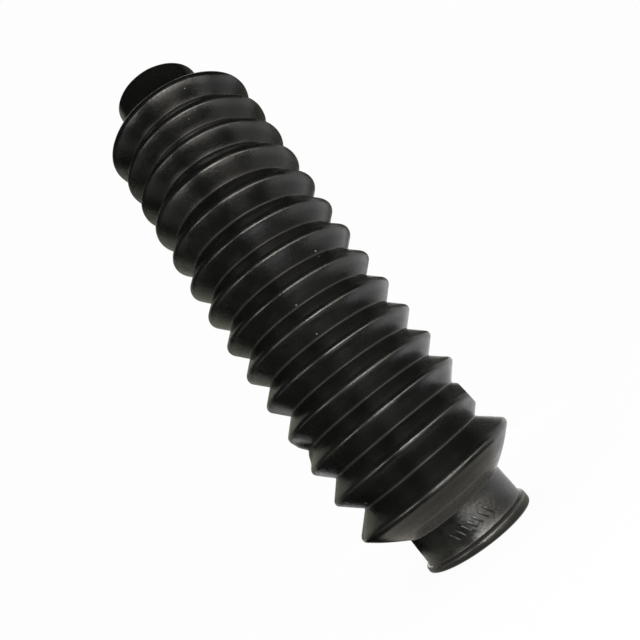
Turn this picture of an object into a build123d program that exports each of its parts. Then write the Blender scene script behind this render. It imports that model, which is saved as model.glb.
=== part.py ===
"""Rubber bellows boot: one thin-walled moulding of fourteen folds between two plain cuffs.

Z runs up the boot's axis. The origin is the centre of the beaded end face, on which it stands.
The whole boot is one half-section turned about Z. Points of the section are (radius, height).
"""

from build123d import *
import math
import os

# Folds. Diameters are over the outside of the rubber.
FOLD_COUNT = 14
PITCH = 14.0  # crest to crest
LAST_PITCH = 15.6  # the lowest crest stands further off than the rest
CREST_D = 70.0
ROOT_D = 58.3
LAST_ROOT_D = 55.0  # the wider lowest groove is also deeper
CREST_ROUND = 1.9  # outside radius of a crest
ROOT_ROUND = 0.5  # outside radius of a root
FOLD_WALL = 1.4

# End flanks: slightly domed cones that drop from the outermost crests to the cuffs.
END_FLANK_HEIGHT = 10.6  # from the neck corner to the crest, along the axis
END_FLANK_DOME = 100.0
NECK_ROUND = 0.5

# Lower cuff, with the end bead that keeps a clamp band from slipping off.
LOWER_BORE_D = 37.5
LOWER_WALL = 2.4
LOWER_CUFF_LENGTH = 14.2
BEAD_HEIGHT = 3.2
BEAD_STEP = 1.4  # how far the bead stands out from the cuff
BEAD_ROUND = 0.9

# Upper cuff, plain.
UPPER_BORE_D = 35.5
UPPER_WALL = 2.4
UPPER_CUFF_LENGTH = 13.2
LIP_ROUND = 0.8  # edges of the open ends

LOWER_CUFF_R = LOWER_BORE_D / 2 + LOWER_WALL
UPPER_CUFF_R = UPPER_BORE_D / 2 + UPPER_WALL
BEAD_FOOT_ROUND = min(NECK_ROUND, (BEAD_STEP - BEAD_ROUND) / 2)
LOWEST_CREST_Z = LOWER_CUFF_LENGTH + END_FLANK_HEIGHT
CREST_HEIGHTS = [LOWEST_CREST_Z] + [
    LOWEST_CREST_Z + LAST_PITCH + i * PITCH for i in range(FOLD_COUNT - 1)
]
UPPER_NECK_Z = CREST_HEIGHTS[-1] + END_FLANK_HEIGHT
TOP_Z = UPPER_NECK_Z + UPPER_CUFF_LENGTH


def crest_centre(fold):
    """Centre of the arc that rounds a crest."""
    return Vector(CREST_D / 2 - CREST_ROUND, CREST_HEIGHTS[fold])


def root_centre(groove):
    """Centre of the arc that rounds the root above the crest of the same number."""
    root_d = LAST_ROOT_D if groove == 0 else ROOT_D
    height = (CREST_HEIGHTS[groove] + CREST_HEIGHTS[groove + 1]) / 2
    return Vector(root_d / 2 + ROOT_ROUND, height)


def flank_normal(crest, root):
    """Outward normal of the straight flank that touches a crest arc and a root arc."""
    reach = root - crest
    swing = math.degrees(math.acos((CREST_ROUND + ROOT_ROUND) / reach.length))
    turn = -swing if root.Y > crest.Y else swing
    return reach.normalized().rotate(Axis.Z, turn)


def dome_centre(crest, neck):
    """Centre of the end flank's arc, which lies tangent on the crest arc and ends at the neck."""
    chord = crest - neck
    to_crest = END_FLANK_DOME - CREST_ROUND
    along = (END_FLANK_DOME**2 - to_crest**2 + chord.length**2) / (2 * chord.length)
    aside = math.sqrt(END_FLANK_DOME**2 - along**2)
    inward = chord.normalized().rotate(Axis.Z, 90 if chord.Y > 0 else -90)
    return neck + chord.normalized() * along + inward * aside


def dome_end(centre, radius, neck_r, neck_z):
    """Where the end flank's arc of the given radius meets the cuff's wall."""
    rise = math.sqrt(radius**2 - (neck_r - centre.X) ** 2)
    return Vector(neck_r, centre.Y - rise if neck_z < centre.Y else centre.Y + rise)


def folds_line(depth, lower_r, upper_r):
    """The folded wall's line from neck to neck, at a depth below the outside of the rubber."""
    last = FOLD_COUNT - 1
    crests = [crest_centre(i) for i in range(FOLD_COUNT)]
    roots = [root_centre(i) for i in range(last)]
    low_dome = dome_centre(crests[0], Vector(LOWER_CUFF_R, LOWER_CUFF_LENGTH))
    high_dome = dome_centre(crests[last], Vector(UPPER_CUFF_R, UPPER_NECK_Z))
    below = [(crests[0] - low_dome).normalized()]
    below += [flank_normal(crests[i + 1], roots[i]) for i in range(last)]
    above = [flank_normal(crests[i], roots[i]) for i in range(last)]
    above += [(crests[last] - high_dome).normalized()]

    crest_r = CREST_ROUND - depth
    root_r = ROOT_ROUND + depth
    edges = []
    for i, crest in enumerate(crests):
        start = crest + below[i] * crest_r
        finish = crest + above[i] * crest_r
        edges.append(ThreePointArc(start, crest + Vector(crest_r, 0), finish))
        if i < last:
            root_start = roots[i] - above[i] * root_r
            root_finish = roots[i] - below[i + 1] * root_r
            edges.append(Line(finish, root_start))
            edges.append(ThreePointArc(root_start, roots[i] - Vector(root_r, 0), root_finish))
            edges.append(Line(root_finish, crests[i + 1] + below[i + 1] * crest_r))
    dome_r = END_FLANK_DOME - depth
    low_end = dome_end(low_dome, dome_r, lower_r, 0)
    high_end = dome_end(high_dome, dome_r, upper_r, TOP_Z)
    edges.insert(0, RadiusArc(low_end, edges[0] @ 0, -dome_r))
    edges.append(RadiusArc(edges[-1] @ 1, high_end, -dome_r))
    return edges


def section():
    """Half-section of the rubber, with its corners still sharp."""
    lower_r = LOWER_BORE_D / 2
    upper_r = UPPER_BORE_D / 2
    outside = folds_line(0, LOWER_CUFF_R, UPPER_CUFF_R)
    inside = folds_line(FOLD_WALL, lower_r, upper_r)
    bead_r = LOWER_CUFF_R + BEAD_STEP
    lower_cuff = Polyline(
        inside[0] @ 0,
        (lower_r, 0),
        (bead_r, 0),
        (bead_r, BEAD_HEIGHT),
        (LOWER_CUFF_R, BEAD_HEIGHT),
        outside[0] @ 0,
    )
    upper_cuff = Polyline(
        outside[-1] @ 1,
        (UPPER_CUFF_R, TOP_Z),
        (upper_r, TOP_Z),
        inside[-1] @ 1,
    )
    return make_face([*outside, *inside, *lower_cuff.edges(), *upper_cuff.edges()])


def rounded(face, radius, *corners):
    """The section with the corners nearest the given points rounded."""
    picked = [face.vertices().sort_by_distance(corner)[0] for corner in corners]
    return fillet(picked, radius)


def bellows_boot():
    face = section()
    bead_r = LOWER_CUFF_R + BEAD_STEP
    face = rounded(face, BEAD_ROUND, (bead_r, 0), (bead_r, BEAD_HEIGHT))
    face = rounded(
        face,
        LIP_ROUND,
        (LOWER_BORE_D / 2, 0),
        (UPPER_BORE_D / 2, TOP_Z),
        (UPPER_CUFF_R, TOP_Z),
    )
    face = rounded(face, BEAD_FOOT_ROUND, (LOWER_CUFF_R, BEAD_HEIGHT))
    face = rounded(
        face, NECK_ROUND, (LOWER_CUFF_R, LOWER_CUFF_LENGTH), (UPPER_CUFF_R, UPPER_NECK_Z)
    )
    return revolve(Plane.XZ * face, Axis.Z)


os.makedirs("parts", exist_ok=True)
export_step(bellows_boot(), "parts/bellows_boot.step")
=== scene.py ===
import math

import bmesh
import bpy
from mathutils import Matrix, Vector


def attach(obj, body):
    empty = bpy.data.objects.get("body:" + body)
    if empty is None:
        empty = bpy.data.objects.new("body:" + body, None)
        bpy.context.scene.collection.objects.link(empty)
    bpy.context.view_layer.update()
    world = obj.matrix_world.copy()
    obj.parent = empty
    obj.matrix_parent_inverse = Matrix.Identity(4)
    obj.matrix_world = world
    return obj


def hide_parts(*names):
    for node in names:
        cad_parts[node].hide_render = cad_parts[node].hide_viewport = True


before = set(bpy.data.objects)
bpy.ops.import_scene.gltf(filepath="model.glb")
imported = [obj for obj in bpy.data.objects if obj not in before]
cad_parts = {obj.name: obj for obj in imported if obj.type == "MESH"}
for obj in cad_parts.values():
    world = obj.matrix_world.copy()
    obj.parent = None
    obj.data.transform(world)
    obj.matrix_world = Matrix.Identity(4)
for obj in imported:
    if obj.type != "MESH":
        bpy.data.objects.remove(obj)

bl_info = {
    "name": "Rubber bellows boot",
    "version": (1, 0, 0),
    "blender": (4, 5, 0),
    "location": "View3D > Sidebar > Boot",
    "description": "Moulded rubber bellows boot with fourteen folds, its cuffs and a small studio",
    "category": "Object",
}

NODE = "bellows_boot"
RUBBER = "Satin black rubber"
STRAIGHT = "straight"  # attribute that holds each point's place before the boot bends
MM = 0.001
SAME_POINT = 0.02 * MM  # points nearer than this count as one


def length(name, description, millimetres):
    """A length that can be set in the panel."""
    return bpy.props.FloatProperty(
        name=name, description=description, default=millimetres * MM, min=0, unit="LENGTH"
    )


def turn(name, description, degrees):
    """An angle that can be set in the panel."""
    return bpy.props.FloatProperty(
        name=name, description=description, default=math.radians(degrees), unit="ROTATION"
    )


def colour(name, description, value):
    """A colour that can be set in the panel."""
    return bpy.props.FloatVectorProperty(
        name=name, description=description, default=value, subtype="COLOR", min=0, max=1
    )


def brightness(name, description, value):
    """A lamp's brightness that can be set in the panel, with 1 as bright as white."""
    return bpy.props.FloatProperty(name=name, description=description, default=value, min=0)


# ---------------------------------------------------------------- settings


class BootSizes(bpy.types.PropertyGroup):
    """Sizes of the moulding, and how the slack rubber lies"""

    folds: bpy.props.IntProperty(name="Folds", description="Number of folds", default=14, min=2)
    pitch: length("Pitch", "Crest to crest", 14.0)
    last_pitch: length("Last pitch", "From the lowest crest to the next", 15.6)
    crest_d: length("Crest diameter", "Over the crests", 70.0)
    root_d: length("Root diameter", "Outside diameter at the roots", 58.3)
    last_root_d: length("Last root diameter", "Outside diameter at the lowest root", 55.0)
    crest_round: length("Crest round", "Outside radius of a crest", 1.9)
    root_round: length("Root round", "Outside radius of a root", 0.5)
    wall: length("Fold wall", "Thickness of the folds", 1.4)
    end_flank: length("End flank height", "From neck to outermost crest", 10.6)
    end_dome: length("End flank dome", "Radius of the end flanks' swell", 100.0)
    lower_bore_d: length("Lower bore", "Bore of the beaded cuff", 37.5)
    lower_wall: length("Lower cuff wall", "Thickness of the beaded cuff", 2.4)
    lower_cuff: length("Lower cuff length", "From the standing face to the neck", 14.2)
    bead_height: length("Bead height", "Height of the end bead", 3.2)
    bead_step: length("Bead step", "How far the bead stands out", 1.4)
    bead_round: length("Bead round", "Rounding of the bead", 0.9)
    upper_bore_d: length("Upper bore", "Bore of the plain cuff", 35.5)
    upper_wall: length("Upper cuff wall", "Thickness of the plain cuff", 2.4)
    upper_cuff: length("Upper cuff length", "From the neck to the top", 13.2)
    lip_round: length("Lip round", "Rounding of the open ends", 0.8)
    neck_round: length("Neck round", "Rounding where cuffs meet folds", 0.5)
    ripple: length("Ripple", "Unevenness of the soft moulding", 0.22)
    dent_way: turn("Dent direction", "Which side is pressed flat, from +X", -5.5)
    dent_lean: turn("Dent lean", "Upward tilt of the flattened face", 5.3)
    dent_height: length("Dent height", "Middle of the flattened face", 39.8)
    dent_reach: length("Dent reach", "Flattened face from the axis", 30.8)
    swell_way: turn("Swell direction", "Side of the half closed groove, from +X", 189.5)
    swell_height: length("Swell height", "Height of the half closed groove", 61.4)
    swell: length("Swell", "How far that root is pushed out", 2.0)


class CuffMarks(bpy.types.PropertyGroup):
    """Sizes of the raised bars on the lower cuff"""

    count: bpy.props.IntProperty(name="Count", description="Number of bars", default=7, min=1)
    height: length("Height", "Length of a bar", 3.9)
    width: length("Width", "Width of a bar", 0.8)
    lean: turn("Lean", "How far a bar leans over from upright", 28)
    proud: length("Proud", "How far the bars stand out of the cuff", 0.4)
    spacing: length("Spacing", "From bar to bar along the cuff", 2.5)
    level: length("Level", "Height of the row above the standing face", 8.2)
    way: turn("Direction", "Middle of the row, from +X", -88)


class RubberLook(bpy.types.PropertyGroup):
    """Colours and finish of the rubber"""

    base: colour("Rubber", "Colour of the rubber", (0.0035, 0.0039, 0.0037))
    warm: colour("Warm patches", "Browner patches of the rubber", (0.0053, 0.0054, 0.0047))
    # pale grey for painted highlights along the roots, and for painted light at the bead's foot
    # and on the lowest flank
    painted_light: colour("Painted light", "Grey bloom in the grooves", (0.045, 0.044, 0.042))
    dust: colour("Dust", "Pale specks of dust", (0.16, 0.155, 0.15))
    roughness: bpy.props.FloatProperty(
        name="Roughness", description="Middle roughness", default=0.19, min=0, max=1
    )


class StudioLook(bpy.types.PropertyGroup):
    """Colour of the floor and brightness of the panels"""

    floor: colour("Floor", "Colour of the floor", (0.9, 0.9, 0.9))
    front: brightness("Front", "The brightest panel in the arc before the boot", 14.0)
    low: brightness("Low", "The panel that lies on the floor", 2.6)
    near: brightness("Near", "The panels by the cuff", 2.2)
    back: brightness("Back", "The panel behind the boot", 1.0)


# ---------------------------------------------------------------- modelling helpers


def start_line(point):
    """A new object that is a single vertex at the point, left in edit mode."""
    bpy.ops.object.select_all(action="DESELECT")
    bpy.ops.mesh.primitive_plane_add(size=MM, location=(0, 0, 0), enter_editmode=True)
    bpy.ops.mesh.merge(type="CENTER")
    bpy.ops.transform.translate(value=point)
    return bpy.context.object


def draw_to(points):
    """Extrudes the selected vertex along the points, given with the one it starts from."""
    for here, there in zip(points, points[1:]):
        bpy.ops.mesh.extrude_region_move(
            TRANSFORM_OT_translate={"value": Vector(there) - Vector(here)}
        )


def select_only(mesh, items):
    """Selects the items of an edited mesh and nothing else."""
    for part in (mesh.faces, mesh.edges, mesh.verts):
        for item in part:
            item.select = False
    for item in items:
        item.select = True


def pick_vertices(obj, test):
    """Selects the vertices that pass the test, in edit mode, and says how many there are."""
    mesh = bmesh.from_edit_mesh(obj.data)
    chosen = [vert for vert in mesh.verts if test(vert)]
    select_only(mesh, chosen)
    mesh.select_flush(True)
    bmesh.update_edit_mesh(obj.data)
    return len(chosen)


def pick_edges(obj, test):
    """Selects the edges that pass the test, in edit mode."""
    mesh = bmesh.from_edit_mesh(obj.data)
    select_only(mesh, [edge for edge in mesh.edges if test(edge)])
    bmesh.update_edit_mesh(obj.data)


def pick_faces(obj, test):
    """Selects the faces that pass the test, in edit mode."""
    mesh = bmesh.from_edit_mesh(obj.data)
    select_only(mesh, [face for face in mesh.faces if test(face)])
    bmesh.update_edit_mesh(obj.data)


def apply_modifiers(obj):
    """Applies an active object's modifiers, in their order."""
    for modifier in list(obj.modifiers):
        bpy.ops.object.modifier_apply(modifier=modifier.name)


# ---------------------------------------------------------------- section of the boot


def crest_heights(size):
    """Heights of the crests above the standing face, from the lowest up."""
    lowest = size.lower_cuff + size.end_flank
    upper = [lowest + size.last_pitch + i * size.pitch for i in range(size.folds - 1)]
    return [lowest] + upper


def upper_neck_height(size):
    """Height at which the topmost end flank meets the plain cuff."""
    return crest_heights(size)[-1] + size.end_flank


def fold_centres(size):
    """Centres of the arcs that round the crests and the roots, as (radius, height)."""
    heights = crest_heights(size)
    crests = [Vector((size.crest_d / 2 - size.crest_round, z)) for z in heights]
    roots = []
    for i in range(size.folds - 1):
        root_d = size.last_root_d if i == 0 else size.root_d
        roots.append(Vector((root_d / 2 + size.root_round, (heights[i] + heights[i + 1]) / 2)))
    return crests, roots


def flank_between(crest, root, crest_round, root_round):
    """Outward normal and offset of the straight flank that touches a crest and a root."""
    reach = root - crest
    swing = math.acos((crest_round + root_round) / reach.length)
    normal = reach.normalized()
    normal.rotate(Matrix.Rotation(-swing if root.y > crest.y else swing, 2))
    return normal, normal.dot(crest) + crest_round


def crossing(one, two):
    """Point where two lines, each a normal and an offset, cross."""
    (a, p), (b, q) = one, two
    whole = a.x * b.y - a.y * b.x
    return Vector(((p * b.y - q * a.y) / whole, (a.x * q - b.x * p) / whole))


def dome_centre(crest, neck, dome, crest_round):
    """Centre of an end flank's arc, tangent on the crest's arc and through the neck's corner."""
    chord = crest - neck
    along = (dome**2 - (dome - crest_round) ** 2 + chord.length**2) / (2 * chord.length)
    way = chord.normalized()
    aside = Vector((-way.y, way.x)) if way.y > 0 else Vector((way.y, -way.x))
    return neck + way * along + aside * math.sqrt(dome**2 - along**2)


def fold_corners(size, depth, lower_r, upper_r):
    """Corners of the folded wall at a depth below its outside, neck to neck.

    Each corner is its point as (radius, height) and the radius that rounds it.
    """
    crests, roots = fold_centres(size)
    lower_neck = Vector((size.lower_bore_d / 2 + size.lower_wall, size.lower_cuff))
    upper_neck = Vector((size.upper_bore_d / 2 + size.upper_wall, upper_neck_height(size)))
    low_dome = dome_centre(crests[0], lower_neck, size.end_dome, size.crest_round)
    high_dome = dome_centre(crests[-1], upper_neck, size.end_dome, size.crest_round)
    lines = []
    for crest, dome in ((crests[0], low_dome), (crests[-1], high_dome)):
        normal = (crest - dome).normalized()
        lines.append((normal, normal.dot(crest) + size.crest_round))
    for i, root in enumerate(roots):
        lines[-1:-1] = [
            flank_between(crest, root, size.crest_round, size.root_round)
            for crest in crests[i : i + 2]
        ]
    lines = [(normal, offset - depth) for normal, offset in lines]
    corners = [crossing(a, b) for a, b in zip(lines, lines[1:])]
    rounds = [size.crest_round - depth, size.root_round + depth] * size.folds
    inner_dome = size.end_dome - depth
    low = dome_points(low_dome, inner_dome, lower_r, corners[0], upper=False)
    high = dome_points(high_dome, inner_dome, upper_r, corners[-1], upper=True)
    return [(p, 0) for p in low] + list(zip(corners, rounds)) + [(p, 0) for p in reversed(high)]


def dome_points(centre, radius, neck_r, corner, upper, steps=5):
    """Points on an end flank's arc, from the neck up to just short of the crest's corner."""
    rise = math.sqrt(radius**2 - (neck_r - centre.x) ** 2)
    neck = Vector((neck_r, centre.y + rise if upper else centre.y - rise))
    start = math.atan2(neck.y - centre.y, neck.x - centre.x)
    reach = corner - centre
    finish = math.atan2(reach.y, reach.x)
    points = []
    for i in range(steps):
        angle = start + (finish - start) * i / (steps + 1)
        points.append(centre + Vector((math.cos(angle), math.sin(angle))) * radius)
    return points


def section_corners(size):
    """The whole closed section: up the outside, over the top lip and down the inside."""
    lower_r = size.lower_bore_d / 2
    upper_r = size.upper_bore_d / 2
    lower_out = lower_r + size.lower_wall
    upper_out = upper_r + size.upper_wall
    bead = lower_out + size.bead_step
    top = upper_neck_height(size) + size.upper_cuff
    foot_round = min(size.neck_round, size.bead_step - size.bead_round)
    outside = fold_corners(size, 0, lower_out, upper_out)
    inside = fold_corners(size, size.wall, lower_r, upper_r)
    outside[0] = (outside[0][0], size.neck_round)
    outside[-1] = (outside[-1][0], size.neck_round)
    return [
        (Vector((lower_r, 0)), size.lip_round),
        (Vector((bead, 0)), size.bead_round),
        (Vector((bead, size.bead_height)), size.bead_round),
        (Vector((lower_out, size.bead_height)), foot_round),
        *outside,
        (Vector((upper_out, top)), size.lip_round),
        (Vector((upper_r, top)), size.lip_round),
        *reversed(inside),
    ]


def round_corner(obj, before, corner, after, radius, segments):
    """Rounds one corner of the drawn section by a bevel of its vertex."""
    way_in = (corner - before).normalized()
    way_out = (after - corner).normalized()
    bend = way_in.angle(way_out)
    at = Vector((corner.x, 0, corner.y))
    found = pick_vertices(obj, lambda vert: (vert.co - at).length < SAME_POINT)
    if found != 1:
        raise RuntimeError(f"{found} vertices at the corner {at}")
    bpy.ops.mesh.bevel(
        offset_type="OFFSET",
        offset=radius * math.tan(bend / 2),
        segments=segments,
        profile=0.5,
        affect="VERTICES",
        clamp_overlap=False,
    )


# ---------------------------------------------------------------- materials


def maths(tree, operation, *values, clamp=False):
    """Output of a maths node, whose values are sockets or numbers."""
    node = tree.nodes.new("ShaderNodeMath")
    node.operation = operation
    node.use_clamp = clamp
    for socket, value in zip(node.inputs, values):
        if isinstance(value, bpy.types.NodeSocket):
            tree.links.new(value, socket)
        else:
            socket.default_value = value
    return node.outputs[0]


def product(tree, value, *factors):
    """Output of the maths nodes that multiply a value by each factor in turn."""
    for factor in factors:
        value = maths(tree, "MULTIPLY", value, factor)
    return value


def ramp(tree, value, low, high, to_low=0.0, to_high=1.0):
    """Output that goes smoothly from one number to another as a value passes a range."""
    node = tree.nodes.new("ShaderNodeMapRange")
    node.interpolation_type = "SMOOTHSTEP"
    tree.links.new(value, node.inputs["Value"])
    for name, number in (
        ("From Min", low), ("From Max", high), ("To Min", to_low), ("To Max", to_high)
    ):
        node.inputs[name].default_value = number
    return node.outputs[0]


def noise(tree, vector, scale, detail, roughness):
    """Output of a noise texture, finer at a larger scale."""
    node = tree.nodes.new("ShaderNodeTexNoise")
    node.inputs["Scale"].default_value = scale
    node.inputs["Detail"].default_value = detail
    node.inputs["Roughness"].default_value = roughness
    tree.links.new(vector, node.inputs["Vector"])
    return node.outputs["Fac"]


def scaled(tree, vector, scale):
    """Output of a vector multiplied by a socket's value."""
    node = tree.nodes.new("ShaderNodeVectorMath")
    node.operation = "SCALE"
    tree.links.new(vector, node.inputs[0])
    tree.links.new(scale, node.inputs["Scale"])
    return node.outputs[0]


def blend(tree, amount, under, over):
    """Colour with another laid over it by an amount; each is a socket or a plain colour."""
    node = tree.nodes.new("ShaderNodeMix")
    node.data_type = "RGBA"
    tree.links.new(amount, node.inputs["Factor"])
    for name, value in (("A", under), ("B", over)):
        if isinstance(value, bpy.types.NodeSocket):
            tree.links.new(value, node.inputs[name])
        else:
            node.inputs[name].default_value = (*value, 1)
    return node.outputs["Result"]


def new_group(name, inputs, outputs):
    """An empty node group with named sockets, its inputs' node and its outputs' node."""
    tree = bpy.data.node_groups.new(name, "ShaderNodeTree")
    for label, kind, default in inputs:
        socket = tree.interface.new_socket(label, in_out="INPUT", socket_type=kind)
        if default is not None:
            socket.default_value = default
    for label, kind in outputs:
        tree.interface.new_socket(label, in_out="OUTPUT", socket_type=kind)
    return tree, tree.nodes.new("NodeGroupInput"), tree.nodes.new("NodeGroupOutput")


def place_group(tree, kind, vector, **values):
    """Outputs of a node group placed in a material with its own values."""
    node = tree.nodes.new("ShaderNodeGroup")
    node.node_tree = kind
    tree.links.new(vector, node.inputs["Vector"])
    for name, value in values.items():
        node.inputs[name].default_value = value
    return node.outputs


def grain_group():
    """Fine moulded grain of rubber: its height, and a slower unevenness."""
    tree, source, result = new_group(
        "Rubber grain",
        [("Vector", "NodeSocketVector", None), ("Scale", "NodeSocketFloat", 1.0)],
        [("Height", "NodeSocketFloat"), ("Patches", "NodeSocketFloat")],
    )
    fine_part = 0.9
    vector = scaled(tree, source.outputs["Vector"], source.outputs["Scale"])
    fine = noise(tree, vector, scale=1500, detail=2.0, roughness=0.6)
    coarse = noise(tree, vector, scale=700, detail=3.0, roughness=0.55)
    height = maths(tree, "ADD", product(tree, fine, fine_part), coarse)
    tree.links.new(height, result.inputs["Height"])
    patches = noise(tree, vector, scale=62, detail=4.0, roughness=0.6)
    tree.links.new(ramp(tree, patches, low=0.35, high=0.68), result.inputs["Patches"])
    return tree


def streak_group():
    """Fine creases that run down the flanks from crest to root, and the point's radius."""
    tree, source, result = new_group(
        "Flank creases",
        [("Vector", "NodeSocketVector", None), ("Around", "NodeSocketFloat", 40.0)],
        [("Height", "NodeSocketFloat"), ("Radius", "NodeSocketFloat")],
    )
    change_along = 18.0  # change along a metre of the boot, against 1 from axis to rim
    split = tree.nodes.new("ShaderNodeSeparateXYZ")
    tree.links.new(source.outputs["Vector"], split.inputs[0])
    x, y, z = split.outputs
    squares = maths(tree, "ADD", product(tree, x, x), product(tree, y, y))
    radius = maths(tree, "SQRT", squares)
    joined = tree.nodes.new("ShaderNodeCombineXYZ")
    tree.links.new(maths(tree, "DIVIDE", x, radius), joined.inputs[0])
    tree.links.new(maths(tree, "DIVIDE", y, radius), joined.inputs[1])
    tree.links.new(product(tree, z, change_along), joined.inputs[2])
    spread = scaled(tree, joined.outputs[0], source.outputs["Around"])
    lines = noise(tree, spread, scale=1.0, detail=4.0, roughness=0.65)
    tree.links.new(lines, result.inputs["Height"])
    tree.links.new(radius, result.inputs["Radius"])
    return tree


def speck_group():
    """Sparse pale specks of dust."""
    tree, source, result = new_group(
        "Dust specks",
        [("Vector", "NodeSocketVector", None), ("Size", "NodeSocketFloat", 0.1)],
        [("Mask", "NodeSocketFloat")],
    )
    cells_per_metre = 170
    bare_share = 0.93  # share of the cells that have no speck
    cells = tree.nodes.new("ShaderNodeTexVoronoi")
    cells.inputs["Scale"].default_value = cells_per_metre
    cells.inputs["Randomness"].default_value = 1.0
    tree.links.new(source.outputs["Vector"], cells.inputs["Vector"])
    split = tree.nodes.new("ShaderNodeSeparateColor")
    tree.links.new(cells.outputs["Color"], split.inputs[0])
    rare = maths(tree, "GREATER_THAN", split.outputs[0], bare_share)
    spot = maths(tree, "LESS_THAN", cells.outputs["Distance"], source.outputs["Size"])
    tree.links.new(product(tree, rare, spot), result.inputs["Mask"])
    return tree


def painted_root_highlight(tree, size, radius, height):
    """Mask of a painted highlight along the roots of the grooves, on the outside of the rubber."""
    # the roots' thin highlight, painted in as a pale grey line at this share
    strength = 0.35
    root_r = size.root_d / 2
    starts = root_r + 0.65 * MM
    full = root_r - 0.15 * MM
    inside_wall = root_r - 0.75 * MM
    deeper = (size.root_d - size.last_root_d) / 2
    above_last_root = size.lower_cuff + size.end_flank + size.last_pitch * 0.75
    last_groove = maths(tree, "LESS_THAN", height, above_last_root)
    level = maths(tree, "MULTIPLY_ADD", last_groove, deeper, radius)
    root = ramp(tree, level, starts, full)
    outside = maths(tree, "GREATER_THAN", level, inside_wall)
    return product(tree, root, outside, strength)


def painted_cuff_light(tree, size, near_cuff, radius, height):
    """Mask of painted light at the bead's foot, and of a painted pale reflection on the flank
    above the lower cuff.
    """
    foot_strength = 0.4
    flank_strength = 0.72
    neck = size.lower_cuff
    crest = neck + size.end_flank
    inside_wall = size.lower_bore_d / 2 + size.lower_wall - 0.65 * MM
    outside = maths(tree, "GREATER_THAN", radius, inside_wall)
    off_foot = maths(tree, "SUBTRACT", height, size.bead_height - 0.1 * MM)
    foot = ramp(tree, maths(tree, "ABSOLUTE", off_foot), 1.2 * MM, 0.6 * MM)
    # painted light that fills the dark corner at the bead's foot
    bead_foot = product(tree, foot, outside, near_cuff, foot_strength)
    above_neck = ramp(tree, height, neck - 0.5 * MM, neck + 0.2 * MM)
    below_crest = ramp(tree, height, crest - 1.8 * MM, crest - 7.8 * MM)
    # painted pale reflection on the lowest flank
    flank = product(tree, above_neck, below_crest, flank_strength, outside)
    return maths(tree, "ADD", bead_foot, flank)


def rubber_material(size, look):
    """Satin black moulded rubber, with painted highlights along its roots, painted light at the
    bead's foot and on the lowest flank, and specks of dust.
    """
    material = bpy.data.materials.new(RUBBER)
    material.use_nodes = True
    tree = material.node_tree
    shader = tree.nodes["Principled BSDF"]
    place = tree.nodes.new("ShaderNodeAttribute")
    place.attribute_name = STRAIGHT
    vector = place.outputs["Vector"]
    split = tree.nodes.new("ShaderNodeSeparateXYZ")
    tree.links.new(vector, split.inputs[0])
    height = split.outputs["Z"]

    grain = place_group(tree, grain_group(), vector, Scale=1.0)
    creases = place_group(tree, streak_group(), vector, Around=34.0)
    specks = place_group(tree, speck_group(), vector, Size=0.07)
    radius = creases["Radius"]
    bead_r = size.lower_bore_d / 2 + size.lower_wall + size.bead_step
    near_cuff = maths(tree, "LESS_THAN", radius, bead_r + 0.95 * MM)
    speck_strength = 0.8

    # painted highlight along the roots and painted light by the lower cuff, laid on in a pale grey
    roots = painted_root_highlight(tree, size, radius, height)
    corners = painted_cuff_light(tree, size, near_cuff, radius, height)
    painted_light = maths(tree, "ADD", roots, corners, clamp=True)
    rubber = blend(tree, grain["Patches"], look.base, look.warm)
    rubber = blend(tree, painted_light, rubber, look.painted_light)
    rubber = blend(tree, product(tree, specks["Mask"], speck_strength), rubber, look.dust)
    tree.links.new(rubber, shader.inputs["Base Color"])

    rubber_finish(tree, shader, size, look, grain, creases, near_cuff)
    return material


def rubber_finish(tree, shader, size, look, grain, creases, near_cuff):
    """Roughness, sheen and relief: the crests are rougher, and catch more light with the cuff."""
    radius = creases["Radius"]
    crest_r = size.crest_d / 2
    crest_top = crest_r - 0.7 * MM
    cuff_sheen = 0.25
    grain_part = 0.6
    rough = ramp(
        tree, grain["Patches"], 0, 1, to_low=look.roughness - 0.04, to_high=look.roughness + 0.06
    )
    rubbed = ramp(tree, radius, crest_r - 1.8 * MM, crest_top, to_low=1.2, to_high=1.45)
    tree.links.new(product(tree, rough, rubbed), shader.inputs["Roughness"])
    sheen = ramp(tree, radius, crest_r - 3.2 * MM, crest_top, to_low=0.25, to_high=0.5)
    sheen = maths(tree, "ADD", sheen, product(tree, near_cuff, cuff_sheen))
    tree.links.new(sheen, shader.inputs["Specular IOR Level"])

    bump = tree.nodes.new("ShaderNodeBump")
    bump.inputs["Strength"].default_value = 0.6
    bump.inputs["Distance"].default_value = 0.12 * MM
    relief = maths(tree, "ADD", product(tree, grain["Height"], grain_part), creases["Height"])
    tree.links.new(relief, bump.inputs["Height"])
    tree.links.new(bump.outputs["Normal"], shader.inputs["Normal"])


# ---------------------------------------------------------------- the boot

SPIN_STEPS = 168
CREST_SEGMENTS = 7  # across the outside of a crest
CORNER_SEGMENTS = 4  # across any other rounded corner
LONG_EDGE = 3.5 * MM  # longer edges of the section are cut in four, so that they can bend
SHORT_EDGE = 2.6 * MM  # edges that are still longer than this are cut in two
WELD = 0.002 * MM

# Points on the slack boot's axis, in mm: the height, then how far it is off along X and Y.
BOW = [
    (0, 0, 0),
    (16, -0.9, 0),
    (32, -1.9, 0.3),
    (47, -2.8, 0.8),
    (63, -3.6, 1.2),
    (94, -4.0, 1.1),
    (126, -3.6, 0.2),
    (157, -2.5, -0.7),
    (189, -0.9, 0.3),
    (220, -0.5, 0),
    (232.2, -0.1, 0),
]


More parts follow.
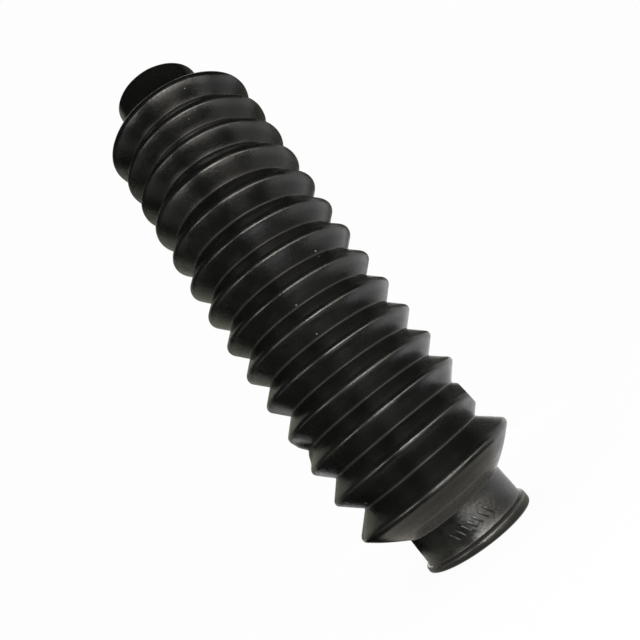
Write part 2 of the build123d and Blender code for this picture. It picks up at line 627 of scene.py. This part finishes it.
def bow_curve():
    """The line that the boot's axis follows, upright where it leaves the floor."""
    upright = Vector((0, 0, 4 * MM))
    bpy.ops.object.select_all(action="DESELECT")
    bpy.ops.curve.primitive_bezier_curve_add(location=(0, 0, 0))
    curve = bpy.context.object
    curve.name = "bow_line"
    curve.data.dimensions = "3D"
    curve.data.twist_mode = "MINIMUM"
    curve.data.resolution_u = 24
    points = curve.data.splines[0].bezier_points
    points.add(len(BOW) - 2)
    for point, (z, x, y) in zip(points, BOW):
        point.handle_left_type = point.handle_right_type = "AUTO"
        point.co = Vector((x, y, z)) * MM
        point.tilt = math.pi  # keeps a piece's +X side at +X
    foot = points[0]
    foot.handle_left_type = foot.handle_right_type = "FREE"
    foot.handle_left = -upright
    foot.handle_right = upright
    return curve


def keep_straight(piece):
    """Keeps each point's place before the bow, which the rubber's finish follows."""
    places = [0.0] * (3 * len(piece.data.vertices))
    piece.data.vertices.foreach_get("co", places)
    straight = piece.data.attributes.new(STRAIGHT, "FLOAT_VECTOR", "POINT")
    straight.data.foreach_set("vector", places)


def bow(piece):
    """Bends a piece, modelled straight, along with the boot."""
    curve = bow_curve()
    bpy.ops.object.select_all(action="DESELECT")
    piece.select_set(True)
    bpy.context.view_layer.objects.active = piece
    bend = piece.modifiers.new("Bow", "CURVE")
    bend.object = curve
    bend.deform_axis = "POS_Z"
    apply_modifiers(piece)
    bpy.data.objects.remove(curve)


def axis_at(height):
    """Where the bowed axis passes a height, going straight from point to point."""
    for (low, *start), (high, *finish) in zip(BOW, BOW[1:]):
        if low <= height / MM <= high:
            part = (height / MM - low) / (high - low)
            x, y = [a + (b - a) * part for a, b in zip(start, finish)]
            return Vector((x * MM, y * MM, height))
    raise ValueError(f"no axis at height {height}")


def side(way):
    """Level direction at an angle from +X."""
    return Vector((math.cos(way), math.sin(way), 0))


class BOOT_OT_moulding(bpy.types.Operator):
    """Model the boot: its section drawn as a line, rounded, spun and bowed"""

    bl_idname = "boot.moulding"
    bl_label = "Boot moulding"

    def execute(self, context):
        size = context.scene.boot_sizes
        look = context.scene.boot_rubber
        boot = self.spin_section(size)
        self.slacken(boot, size)
        self.dent(boot, size)
        self.swell(boot, size)
        bpy.ops.object.shade_smooth_by_angle(angle=math.radians(35))
        boot.data.materials.clear()
        boot.data.materials.append(rubber_material(size, look))
        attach(boot, "root")
        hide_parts(NODE)
        return {"FINISHED"}

    def spin_section(self, size):
        """Draws the closed section, rounds its corners and spins it about the axis."""
        corners = section_corners(size)
        flat = [point for point, _ in corners]
        line = [Vector((point.x, 0, point.y)) for point in flat]
        boot = start_line(line[0])
        boot.name = boot.data.name = "boot_moulding"
        draw_to(line)
        ends = (line[0], line[-1])
        pick_vertices(boot, lambda vert: min((vert.co - end).length for end in ends) < SAME_POINT)
        bpy.ops.mesh.edge_face_add()
        for i, (point, radius) in enumerate(corners):
            if radius > 0:
                segments = CREST_SEGMENTS if point.x > size.crest_d / 2 else CORNER_SEGMENTS
                after = flat[(i + 1) % len(flat)]
                round_corner(boot, flat[i - 1], point, after, radius, segments)
        for longest, cuts in ((LONG_EDGE, 3), (SHORT_EDGE, 1)):
            pick_edges(boot, lambda edge: edge.calc_length() > longest)
            bpy.ops.mesh.subdivide(number_cuts=cuts)
        bpy.ops.mesh.select_all(action="SELECT")
        bpy.ops.mesh.spin(steps=SPIN_STEPS, angle=math.tau, center=(0, 0, 0), axis=(0, 0, 1))
        bpy.ops.mesh.select_all(action="SELECT")
        bpy.ops.mesh.remove_doubles(threshold=WELD)
        bpy.ops.mesh.normals_make_consistent(inside=False)
        bpy.ops.object.mode_set(mode="OBJECT")
        return boot

    def slacken(self, boot, size):
        """Keeps each point's straight place for the finish, then lets the boot ripple and bow."""
        keep_straight(boot)
        bpy.ops.object.mode_set(mode="EDIT")
        pick_vertices(boot, lambda vert: vert.co.z > size.bead_height)
        bpy.ops.object.vertex_group_add()
        bpy.ops.object.vertex_group_assign()
        bpy.ops.object.mode_set(mode="OBJECT")
        clouds = bpy.data.textures.new("ripple", "CLOUDS")
        clouds.noise_scale = 14 * MM
        clouds.noise_depth = 1
        ripple = boot.modifiers.new("Ripple", "DISPLACE")
        ripple.texture = clouds
        ripple.texture_coords = "LOCAL"
        ripple.strength = size.ripple
        ripple.mid_level = 0.5
        ripple.vertex_group = boot.vertex_groups[0].name
        bow(boot)

    def dent(self, boot, size):
        """Presses one fold's crest flat, where the boot has been squeezed."""
        at = axis_at(size.dent_height) + side(size.dent_way) * size.dent_reach
        face = side(size.dent_way) * math.cos(size.dent_lean)
        face.z = math.sin(size.dent_lean)
        along = face.orthogonal().normalized()
        axes = Matrix((face, along, face.cross(along))).transposed()
        fold_reach = size.pitch * 0.6  # above and below the middle of the flat
        bpy.ops.object.mode_set(mode="EDIT")
        for depth, outer in ((0, True), (size.wall, False)):
            plane = at - face * depth

            def on_fold(vert):
                return abs(vert.co.z - at.z) < fold_reach

            def proud(vert):
                faces_out = vert.normal.dot(face) > 0
                return on_fold(vert) and faces_out == outer and (vert.co - plane).dot(face) > 0

            pick_vertices(boot, lambda vert: on_fold(vert) and vert.co.x > 0)
            bpy.ops.mesh.bisect(plane_co=plane, plane_no=face)
            pick_vertices(boot, proud)
            bpy.ops.transform.resize(
                value=(0, 1, 1),
                orient_type="GLOBAL",
                orient_matrix=axes,
                orient_matrix_type="GLOBAL",
                constraint_axis=(True, False, False),
                center_override=plane,
            )
        bpy.ops.object.mode_set(mode="OBJECT")

    def swell(self, boot, size):
        """Pushes a root out a little, where a groove has half closed."""
        way = side(size.swell_way)
        at = axis_at(size.swell_height) + way * size.root_d / 2
        core = size.pitch * 0.13
        bpy.ops.object.mode_set(mode="EDIT")
        pick_vertices(boot, lambda vert: (vert.co - at).length < core)
        bpy.ops.transform.translate(
            value=way * size.swell,
            use_proportional_edit=True,
            proportional_edit_falloff="SMOOTH",
            proportional_size=size.pitch * 0.5,
        )
        bpy.ops.object.mode_set(mode="OBJECT")


# ---------------------------------------------------------------- marks on the lower cuff


class BOOT_OT_cuff_marks(bpy.types.Operator):
    """Add the row of plain raised bars on the lower cuff"""

    bl_idname = "boot.cuff_marks"
    bl_label = "Cuff marks"

    def execute(self, context):
        size = context.scene.boot_sizes
        marks = context.scene.boot_marks
        cuff_r = size.lower_bore_d / 2 + size.lower_wall
        bar = self.bar(marks, cuff_r)
        copies = []
        for place in range(marks.count):
            along = (place - (marks.count - 1) / 2) * marks.spacing
            copies.append(self.copy(bar, marks.way + along / cuff_r))
        bpy.data.objects.remove(bar)
        bpy.ops.object.select_all(action="DESELECT")
        for mark in copies:
            mark.select_set(True)
        context.view_layer.objects.active = copies[0]
        bpy.ops.object.join()
        row = context.object
        row.name = row.data.name = "cuff_marks"
        bpy.ops.object.transform_apply()
        row.data.materials.append(bpy.data.materials[RUBBER])
        keep_straight(row)
        bow(row)
        bpy.ops.object.shade_smooth_by_angle(angle=math.radians(50))
        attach(row, "root")
        return {"FINISHED"}

    def bar(self, marks, cuff_r):
        """One raised, leaning bar on the +X side of the cuff, softened at its edges."""
        bpy.ops.object.select_all(action="DESELECT")
        bpy.ops.mesh.primitive_cube_add(
            size=1,
            location=(cuff_r, 0, marks.level),
            rotation=(marks.lean, 0, 0),
            scale=(marks.proud * 2, marks.width, marks.height),
            enter_editmode=True,
        )
        bpy.ops.mesh.bevel(offset=marks.proud * 0.5, segments=3, affect="EDGES")
        bpy.ops.object.mode_set(mode="OBJECT")
        return bpy.context.object

    def copy(self, pattern, way):
        """The pattern's copy, turned about the boot's axis."""
        bpy.ops.object.select_all(action="DESELECT")
        pattern.select_set(True)
        bpy.context.view_layer.objects.active = pattern
        bpy.ops.object.duplicate(linked=False)
        mark = bpy.context.object
        bpy.ops.object.transform_apply()
        mark.rotation_euler.z = way
        bpy.ops.object.transform_apply()
        return mark


# ---------------------------------------------------------------- studio

WARM = (1, 0.96, 0.88)  # light of the panels round the boot
COOL = (0.92, 0.97, 1)  # light of the panels close to the cuff
ROUND_SIDES = 96  # of the round wall, cloths and floor
ON_FLOOR = 2 * MM  # height of a panel that rests on the floor
FAR_UP = 10.0  # a panel turned to this height lies all but flat


def in_plain_view(tree):
    """Mask of the rays that meet a plain white background: from camera, mirror or glass."""
    light = tree.nodes.new("ShaderNodeLightPath")
    seen = maths(tree, "ADD", light.outputs["Is Camera Ray"], light.outputs["Is Glossy Ray"])
    return maths(tree, "ADD", seen, light.outputs["Is Transmission Ray"], clamp=True)


def add_disc(name, radius):
    """A level round face about the origin, left in edit mode."""
    bpy.ops.object.select_all(action="DESELECT")
    bpy.ops.mesh.primitive_circle_add(
        vertices=ROUND_SIDES, radius=radius, fill_type="NGON", location=(0, 0, 0),
        enter_editmode=True,
    )
    disc = bpy.context.object
    disc.name = name
    return disc


class BOOT_OT_studio(bpy.types.Operator):
    """Set up the floor, the world, the cards, the lamps and the camera"""

    bl_idname = "boot.studio"
    bl_label = "Studio"

    def execute(self, context):
        look = context.scene.boot_studio
        self.floor(look)
        self.world(context)
        self.dark_cards()
        self.lamps(look)
        self.camera(context)
        context.scene.view_settings.view_transform = "Standard"
        return {"FINISHED"}

    def floor(self, look):
        """A wide pale floor that the camera sees as plain white."""
        floor_r = 6.0
        middle_r = 1.0
        white_part = 0.95
        floor = add_disc("floor", floor_r)
        bpy.ops.mesh.inset(thickness=floor_r - middle_r)
        bpy.ops.object.mode_set(mode="OBJECT")
        material = bpy.data.materials.new("Pale floor")
        material.use_nodes = True
        tree = material.node_tree
        shader = tree.nodes["Principled BSDF"]
        shader.inputs["Base Color"].default_value = (*look.floor, 1)
        shader.inputs["Roughness"].default_value = 0.9
        shader.inputs["Specular IOR Level"].default_value = 0.1
        white = tree.nodes.new("ShaderNodeEmission")
        mix = tree.nodes.new("ShaderNodeMixShader")
        tree.links.new(product(tree, in_plain_view(tree), white_part), mix.inputs[0])
        tree.links.new(shader.outputs[0], mix.inputs[1])
        tree.links.new(white.outputs[0], mix.inputs[2])
        tree.links.new(mix.outputs[0], tree.nodes["Material Output"].inputs["Surface"])
        floor.data.materials.append(material)

    def dark_cards(self):
        """Cards round the boot that only its reflections see: they keep the rubber deep.

        A black wall stands before and beside the boot, with two grey screens behind the boot.
        A black cloth lies on the floor before it, and a pale one close to its foot.
        """
        wall_r = 0.34
        pale_r = 0.042
        foot_r = 0.0215
        black = self.card_material("Black card", (0.01, 0.01, 0.01))
        grey = self.card_material("Grey card", (0.42, 0.42, 0.36))
        pale = self.card_material("Pale cloth", (0.85, 0.83, 0.72))
        deep = self.card_material("Deep grey card", (0.16, 0.16, 0.14))
        self.wall("dark_cards", wall_r, height=0.8, material=black)
        self.screen("right_screen", 40, low=0.1, high=0.58, material=deep)
        self.screen("left_screen", -40, low=0.0, high=0.6, material=grey)
        self.cloth("dark_cloth", wall_r, hole_r=pale_r, material=black)
        self.cloth("foot_cloth", pale_r, hole_r=foot_r, material=pale)

    def wall(self, name, radius, height, material):
        """A round wall with a lid, open at its foot, behind the boot and low at its right."""
        bpy.ops.object.select_all(action="DESELECT")
        bpy.ops.mesh.primitive_cylinder_add(
            vertices=ROUND_SIDES, radius=radius, depth=height, end_fill_type="NGON",
            location=(0, 0, 0), enter_editmode=True,
        )
        wall = bpy.context.object
        wall.name = name
        bpy.ops.transform.translate(value=(0, 0, height / 2 + MM))
        pick_faces(wall, lambda face: face.calc_center_median().z < 2 * MM)
        bpy.ops.mesh.delete(type="FACE")
        self.cut_away(place=(0, 0.19, 0), way=(0.07, 1, 0))
        self.cut_away(place=(0.314, 0, 0), way=(1, 1, -0.384))
        bpy.ops.object.mode_set(mode="OBJECT")
        self.hide_card(wall, material)

    def cloth(self, name, radius, hole_r, material):
        """A ring of cloth on the floor before the boot."""
        cloth = add_disc(name, radius)
        bpy.ops.transform.translate(value=(0, 0, MM / 2))
        bpy.ops.mesh.inset(thickness=radius - hole_r)
        bpy.ops.mesh.delete(type="FACE")
        self.cut_away(place=(0, 0.035, 0), way=(0.7, 1, 0))
        bpy.ops.object.mode_set(mode="OBJECT")
        self.hide_card(cloth, material)

    def screen(self, name, way, low, high, material):
        """A screen between two heights behind the boot, at an angle round from the back."""
        reach = 0.32
        width = 0.24
        way = math.radians(way)
        place = Vector((math.sin(way), math.cos(way), 0)) * reach
        place.z = (low + high) / 2
        bpy.ops.object.select_all(action="DESELECT")
        bpy.ops.mesh.primitive_plane_add(
            size=1, location=place, rotation=(math.radians(90), 0, -way)
        )
        screen = bpy.context.object
        screen.name = name
        screen.scale = (width, high - low, 1)
        self.hide_card(screen, material)

    def card_material(self, name, shade):
        """A card or cloth with no shine."""
        material = bpy.data.materials.new(name)
        material.use_nodes = True
        shader = material.node_tree.nodes["Principled BSDF"]
        shader.inputs["Base Color"].default_value = (*shade, 1)
        shader.inputs["Roughness"].default_value = 1.0
        shader.inputs["Specular IOR Level"].default_value = 0.0
        return material

    def cut_away(self, place, way):
        """Cuts off what lies beyond a plane through a place, on the side that it faces."""
        bpy.ops.mesh.select_all(action="SELECT")
        bpy.ops.mesh.bisect(plane_co=place, plane_no=way, clear_outer=True)

    def hide_card(self, card, material):
        """Leaves a card to reflections alone."""
        card.data.materials.append(material)
        for rays in ("camera", "diffuse", "transmission", "shadow", "volume_scatter"):
            setattr(card, "visible_" + rays, False)

    def world(self, context):
        """A white room, a little greyer in the light it gives than in plain view."""
        world = bpy.data.worlds.new("White room")
        context.scene.world = world
        world.use_nodes = True
        tree = world.node_tree
        back = tree.nodes["Background"]
        back.inputs["Color"].default_value = (1, 1, 1, 1)
        strength = ramp(tree, in_plain_view(tree), 0, 1, to_low=0.75, to_high=0.984)
        tree.links.new(strength, back.inputs["Strength"])

    def lamps(self, look):
        """Low panels that stand round the boot and face it, hidden from the camera."""
        side_part = 0.16
        for name, way, part in (
            ("left_panel", -82, 0.035),
            ("left_front_panel", -42, 0.35),
            ("front_panel", 8, 1.0),
            ("right_front_panel", 38, 0.5),
            ("right_panel", 65, 0.15),
        ):
            self.panel(
                name, way, reach=0.29, extent=(0.14, 0.1), height=0.04, aim=0.1,
                radiance=look.front * part, tint=WARM,
            )
        self.panel(
            "floor_panel", 14, reach=0.235, extent=(0.16, 0.09), height=ON_FLOOR, aim=FAR_UP,
            radiance=look.low, tint=WARM,
        )
        self.panel(
            "near_panel", 10, reach=0.075, extent=(0.05, 0.05), height=ON_FLOOR, aim=0.2,
            radiance=look.near, tint=COOL,
        )
        self.panel(
            "near_side_panel", 80, reach=0.06, extent=(0.09, 0.05), height=ON_FLOOR, aim=0.2,
            radiance=look.near * side_part, tint=COOL,
        )
        self.panel(
            "back_panel", 180, reach=0.2, extent=(0.16, 0.06), height=0.025, aim=0.1,
            radiance=look.back, tint=WARM,
        )

    def panel(self, name, way, reach, extent, height, aim, radiance, tint):
        """One panel at an angle round from the front, turned to a height on the boot's axis."""
        way = math.radians(way)
        place = Vector((reach * math.sin(way), -reach * math.cos(way), height))
        bpy.ops.object.light_add(type="AREA", location=place)
        lamp = bpy.context.object
        lamp.name = name
        lamp.data.shape = "RECTANGLE"
        lamp.data.size, lamp.data.size_y = extent
        lamp.data.energy = radiance * math.pi * extent[0] * extent[1]
        lamp.data.color = tint
        lamp.visible_camera = False
        lamp.rotation_euler = (Vector((0, 0, aim)) - place).to_track_quat("-Z", "Y").to_euler()

    def camera(self, context):
        """A camera low before the boot that looks up at it, rolled to one side."""
        place = Vector((0.0038, -0.2363, 0.0483))
        upward = math.radians(15.19)
        rolled = math.radians(-36.5)
        bpy.ops.object.camera_add(location=(0, 0, 0))
        camera = bpy.context.object
        camera.data.sensor_width = 36
        camera.data.lens = 33.09
        camera.data.shift_x = 0.0131
        camera.data.shift_y = -0.0474
        camera.data.clip_start = 5 * MM
        rise = Matrix.Rotation(math.radians(90) + upward, 4, "X")
        roll = Matrix.Rotation(rolled, 4, "Z")
        camera.matrix_world = Matrix.Translation(place) @ rise @ roll
        context.scene.camera = camera


# ---------------------------------------------------------------- panel and registration


class BOOT_PT_panel(bpy.types.Panel):
    """Sidebar panel with each operator and its settings"""

    bl_idname = "BOOT_PT_panel"
    bl_label = "Bellows boot"
    bl_space_type = "VIEW_3D"
    bl_region_type = "UI"
    bl_category = "Boot"

    def draw(self, context):
        scene = context.scene
        for operator, groups in (
            (BOOT_OT_moulding, (scene.boot_sizes, scene.boot_rubber)),
            (BOOT_OT_cuff_marks, (scene.boot_marks,)),
            (BOOT_OT_studio, (scene.boot_studio,)),
        ):
            box = self.layout.box()
            box.operator(operator.bl_idname)
            for group in groups:
                for name in group.bl_rna.properties.keys():
                    if name not in {"rna_type", "name"}:
                        box.prop(group, name)


GROUPS = {
    "boot_sizes": BootSizes,
    "boot_marks": CuffMarks,
    "boot_rubber": RubberLook,
    "boot_studio": StudioLook,
}
OPERATORS = (BOOT_OT_moulding, BOOT_OT_cuff_marks, BOOT_OT_studio)
CLASSES = (*GROUPS.values(), *OPERATORS, BOOT_PT_panel)


def register():
    for cls in CLASSES:
        bpy.utils.register_class(cls)
    for name, cls in GROUPS.items():
        setattr(bpy.types.Scene, name, bpy.props.PointerProperty(type=cls))


def unregister():
    for name in GROUPS:
        delattr(bpy.types.Scene, name)
    for cls in reversed(CLASSES):
        bpy.utils.unregister_class(cls)


def main():
    """Builds everything."""
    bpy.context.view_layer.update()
    register()
    for operator in OPERATORS:
        getattr(bpy.ops.boot, operator.bl_idname.split(".")[1])()


if __name__ == "__main__":
    main()
